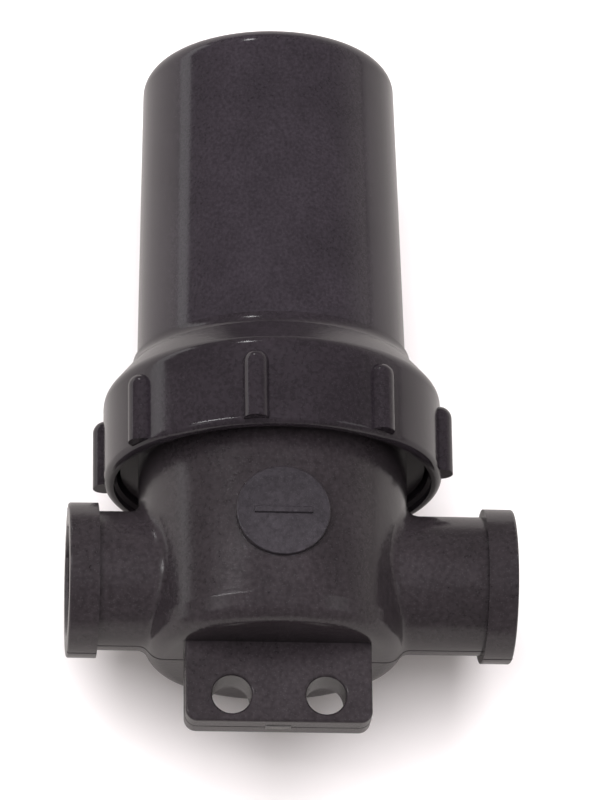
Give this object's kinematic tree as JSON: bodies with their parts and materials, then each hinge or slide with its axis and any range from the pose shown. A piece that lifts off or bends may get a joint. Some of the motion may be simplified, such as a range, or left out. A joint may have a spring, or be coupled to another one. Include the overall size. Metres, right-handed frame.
{
  "type": "sea water strainer",
  "caption": "Inline sea water strainer: moulded head with threaded side ports and a drilled lug, a closed bowl held by a ribbed ring nut, and a gauze cartridge inside.",
  "frame": {"origin": "midway between the two lug holes, on the back face of the lug", "axes": "+Z along the bowl to its closed end, +Y out of the lug's back face, +X along the port axis to the outlet; the bowl's axis is 4.9 mm to the +Y side of the origin"},
  "size_m": [0.109, 0.088, 0.1773],
  "materials": {
    "head_black": "black moulded glass-filled plastic, slightly grainy satin",
    "bowl_black": "black moulded plastic, semi-gloss",
    "nut_black": "black moulded glass-filled plastic, satin",
    "cage_plastic": "off-white moulded plastic, satin",
    "gauze": "woven stainless steel gauze",
    "rubber": "black nitrile rubber, matte"
  },
  "bodies": {
    "head": {"head": "head_black", "bowl_seal": "rubber"},
    "cartridge": {"cartridge_cage": "cage_plastic", "cartridge_gauze": "gauze", "cartridge_seal": "rubber"},
    "bowl": {"bowl": "bowl_black"},
    "ring_nut": {"ring_nut": "nut_black"}
  },
  "joints": [
    {"name": "unscrew_rise", "type": "slide", "parent": "head", "child": "cartridge", "axis": [0, 0, 1], "range_m": [0, 0.012]},
    {"name": "bowl_lift", "type": "slide", "parent": "cartridge", "child": "bowl", "axis": [0, 0, 1], "range_m": [0, 0.11]},
    {"name": "nut_turn", "type": "hinge", "parent": "bowl", "child": "ring_nut", "pos_m": [0, 0.0049, 0.075], "axis": [0, 0, 1], "range_deg": [0, 1080]}
  ],
  "couplings": [
    {"joint": "unscrew_rise", "follows": "nut_turn", "m_per_rad": 0.0006366}
  ]
}
